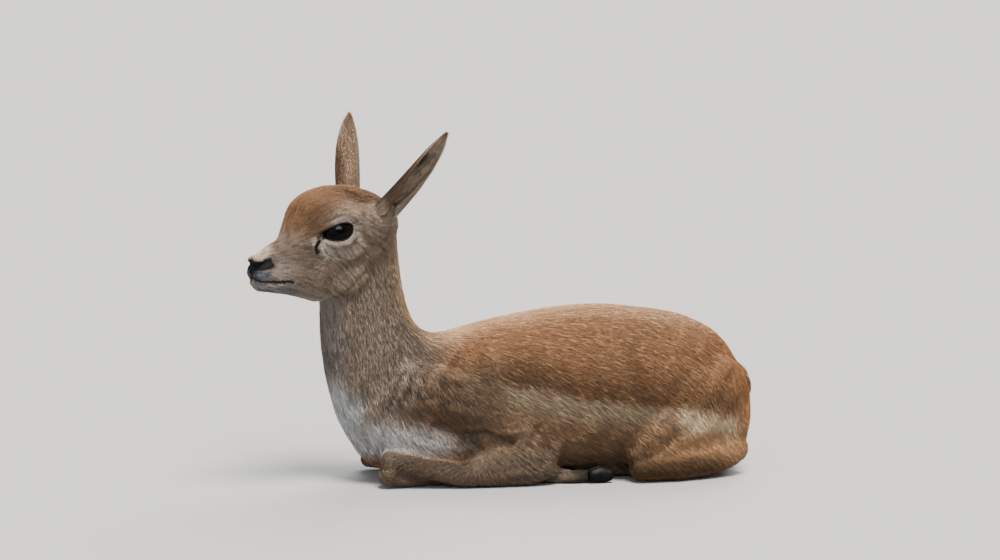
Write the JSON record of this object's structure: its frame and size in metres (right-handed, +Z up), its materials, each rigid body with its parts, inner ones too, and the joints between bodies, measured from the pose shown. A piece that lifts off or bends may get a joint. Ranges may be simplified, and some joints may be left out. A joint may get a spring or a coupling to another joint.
{
  "type": "blackbuck fawn",
  "caption": "Life-size still model of a young hornless blackbuck lying with folded legs, head raised and turned a little to its left",
  "frame": {"origin": "on the floor under the middle of the belly, at the flat that the body rests on", "axes": "+Z up; the animal faces -X, so the tail is toward +X; its left side is toward -Y"},
  "size_m": [0.5652, 0.202, 0.3856],
  "materials": {
    "back_coat": "short flat orange-brown fur",
    "neck_coat": "short grey-tan fur, white on the chest and chin",
    "leg_coat": "short golden-brown fur",
    "hoof": "dark grey horn, satin",
    "eye": "wet, near black"
  },
  "bodies": {
    "root": {"torso": "back_coat", "neck": "neck_coat", "head": "neck_coat", "left_ear": "neck_coat", "right_ear": "neck_coat", "left_eye": "eye", "right_eye": "eye", "tail": "back_coat", "left_upper_arm": "leg_coat", "right_upper_arm": "leg_coat", "left_forearm": "leg_coat", "right_forearm": "leg_coat", "left_fore_cannon": "leg_coat", "right_fore_cannon": "leg_coat", "left_fore_hoof": "hoof", "right_fore_hoof": "hoof", "left_thigh": "leg_coat", "right_thigh": "leg_coat", "left_shank": "leg_coat", "right_shank": "leg_coat", "left_hind_cannon": "leg_coat", "right_hind_cannon": "leg_coat", "left_hind_hoof": "hoof", "right_hind_hoof": "hoof"}
  },
  "joints": []
}
